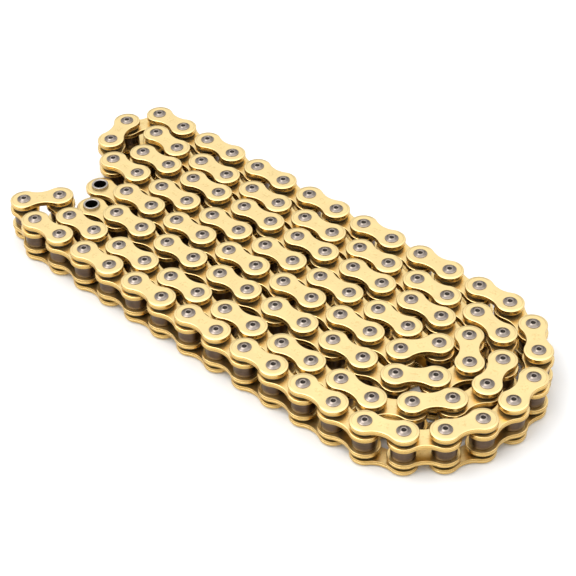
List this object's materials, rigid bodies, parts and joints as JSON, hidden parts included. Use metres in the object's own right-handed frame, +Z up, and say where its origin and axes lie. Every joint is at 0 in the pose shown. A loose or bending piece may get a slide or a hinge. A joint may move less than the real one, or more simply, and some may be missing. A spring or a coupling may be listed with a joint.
{
  "type": "motorcycle drive chain",
  "caption": "Sealed roller drive chain with gold-coloured plates, lying on its side in a folded coil, with both free ends open for a connecting link.",
  "frame": {"origin": "centre of the coil in plan, on the plane that the lower pin ends rest on", "axes": "+X along the straight runs towards the large outer bend, +Z up along the pins"},
  "size_m": [0.2632, 0.1051, 0.0202],
  "materials": {
    "gold_outer": "pale gold coated steel, satin",
    "gold_inner": "pale gold coated steel, satin",
    "pin_steel": "bare steel, riveted ends",
    "bush_steel": "bare steel",
    "roller_steel": "dark heat-treated steel, lightly oiled",
    "seal_rubber": "black rubber"
  },
  "bodies": {
    "coil": {"outer_plates_upper": "gold_outer", "outer_plates_lower": "gold_outer", "inner_plates_upper": "gold_inner", "inner_plates_lower": "gold_inner", "pins": "pin_steel", "bushes": "bush_steel", "rollers": "roller_steel", "seals_upper": "seal_rubber", "seals_lower": "seal_rubber"},
    "end_a_outer_link": {"end_a_outer_plate_upper": "gold_outer", "end_a_outer_plate_lower": "gold_outer", "end_a_pins": "pin_steel", "end_a_seals": "seal_rubber"},
    "end_a_inner_link": {"end_a_inner_plate_upper": "gold_inner", "end_a_inner_plate_lower": "gold_inner", "end_a_bush_open": "bush_steel", "end_a_bush_pinned": "bush_steel"},
    "end_a_roller_open_body": {"end_a_roller_open": "roller_steel"},
    "end_a_roller_pinned_body": {"end_a_roller_pinned": "roller_steel"},
    "end_b_outer_link": {"end_b_outer_plate_upper": "gold_outer", "end_b_outer_plate_lower": "gold_outer", "end_b_pins": "pin_steel", "end_b_seals": "seal_rubber"},
    "end_b_inner_link": {"end_b_inner_plate_upper": "gold_inner", "end_b_inner_plate_lower": "gold_inner", "end_b_bush_open": "bush_steel", "end_b_bush_pinned": "bush_steel"},
    "end_b_roller_open_body": {"end_b_roller_open": "roller_steel"},
    "end_b_roller_pinned_body": {"end_b_roller_pinned": "roller_steel"},
    "front_roller_01_body": {"front_roller_01": "roller_steel"},
    "front_roller_02_body": {"front_roller_02": "roller_steel"},
    "front_roller_03_body": {"front_roller_03": "roller_steel"},
    "front_roller_04_body": {"front_roller_04": "roller_steel"},
    "front_roller_05_body": {"front_roller_05": "roller_steel"},
    "front_roller_06_body": {"front_roller_06": "roller_steel"},
    "front_roller_07_body": {"front_roller_07": "roller_steel"},
    "front_roller_08_body": {"front_roller_08": "roller_steel"},
    "front_roller_09_body": {"front_roller_09": "roller_steel"},
    "front_roller_10_body": {"front_roller_10": "roller_steel"},
    "front_roller_11_body": {"front_roller_11": "roller_steel"},
    "front_roller_12_body": {"front_roller_12": "roller_steel"}
  },
  "joints": [
    {"name": "end_a_outer_pivot", "type": "hinge", "parent": "coil", "child": "end_a_outer_link", "pos_m": [-0.06976, -0.00561, 0.01008], "axis": [0, 0, 1], "range_deg": [-1.5, 0.5]},
    {"name": "end_a_inner_pivot", "type": "hinge", "parent": "end_a_outer_link", "child": "end_a_inner_link", "pos_m": [-0.08564, -0.00561, 0.01008], "axis": [0, 0, 1], "range_deg": [-8, 2.5]},
    {"name": "end_a_roller_open_spin", "type": "hinge", "parent": "end_a_inner_link", "child": "end_a_roller_open_body", "pos_m": [-0.1014, -0.00755, 0.01008], "axis": [0, 0, 1], "continuous": true},
    {"name": "end_a_roller_pinned_spin", "type": "hinge", "parent": "end_a_inner_link", "child": "end_a_roller_pinned_body", "pos_m": [-0.08564, -0.00561, 0.01008], "axis": [0, 0, 1], "continuous": true},
    {"name": "end_b_outer_pivot", "type": "hinge", "parent": "coil", "child": "end_b_outer_link", "pos_m": [-0.06183, -0.01922, 0.01008], "axis": [0, 0, 1], "range_deg": [-0.5, 0.5]},
    {"name": "end_b_inner_pivot", "type": "hinge", "parent": "end_b_outer_link", "child": "end_b_inner_link", "pos_m": [-0.0777, -0.01922, 0.01008], "axis": [0, 0, 1], "range_deg": [-2.5, 2.5]},
    {"name": "end_b_roller_open_spin", "type": "hinge", "parent": "end_b_inner_link", "child": "end_b_roller_open_body", "pos_m": [-0.09356, -0.02005, 0.01008], "axis": [0, 0, 1], "continuous": true},
    {"name": "end_b_roller_pinned_spin", "type": "hinge", "parent": "end_b_inner_link", "child": "end_b_roller_pinned_body", "pos_m": [-0.0777, -0.01922, 0.01008], "axis": [0, 0, 1], "continuous": true},
    {"name": "front_roller_01_spin", "type": "hinge", "parent": "coil", "child": "front_roller_01_body", "pos_m": [0.07311, -0.04606, 0.01008], "axis": [0, 0, 1], "continuous": true},
    {"name": "front_roller_02_spin", "type": "hinge", "parent": "coil", "child": "front_roller_02_body", "pos_m": [0.05724, -0.04606, 0.01008], "axis": [0, 0, 1], "continuous": true},
    {"name": "front_roller_03_spin", "type": "hinge", "parent": "coil", "child": "front_roller_03_body", "pos_m": [0.04136, -0.04606, 0.01008], "axis": [0, 0, 1], "continuous": true},
    {"name": "front_roller_04_spin", "type": "hinge", "parent": "coil", "child": "front_roller_04_body", "pos_m": [0.02549, -0.04606, 0.01008], "axis": [0, 0, 1], "continuous": true},
    {"name": "front_roller_05_spin", "type": "hinge", "parent": "coil", "child": "front_roller_05_body", "pos_m": [0.00961, -0.04606, 0.01008], "axis": [0, 0, 1], "continuous": true},
    {"name": "front_roller_06_spin", "type": "hinge", "parent": "coil", "child": "front_roller_06_body", "pos_m": [-0.00626, -0.04606, 0.01008], "axis": [0, 0, 1], "continuous": true},
    {"name": "front_roller_07_spin", "type": "hinge", "parent": "coil", "child": "front_roller_07_body", "pos_m": [-0.02214, -0.04606, 0.01008], "axis": [0, 0, 1], "continuous": true},
    {"name": "front_roller_08_spin", "type": "hinge", "parent": "coil", "child": "front_roller_08_body", "pos_m": [-0.03802, -0.04606, 0.01008], "axis": [0, 0, 1], "continuous": true},
    {"name": "front_roller_09_spin", "type": "hinge", "parent": "coil", "child": "front_roller_09_body", "pos_m": [-0.05389, -0.04606, 0.01008], "axis": [0, 0, 1], "continuous": true},
    {"name": "front_roller_10_spin", "type": "hinge", "parent": "coil", "child": "front_roller_10_body", "pos_m": [-0.06976, -0.04606, 0.01008], "axis": [0, 0, 1], "continuous": true},
    {"name": "front_roller_11_spin", "type": "hinge", "parent": "coil", "child": "front_roller_11_body", "pos_m": [-0.08564, -0.04606, 0.01008], "axis": [0, 0, 1], "continuous": true},
    {"name": "front_roller_12_spin", "type": "hinge", "parent": "coil", "child": "front_roller_12_body", "pos_m": [-0.10151, -0.04606, 0.01008], "axis": [0, 0, 1], "continuous": true}
  ]
}
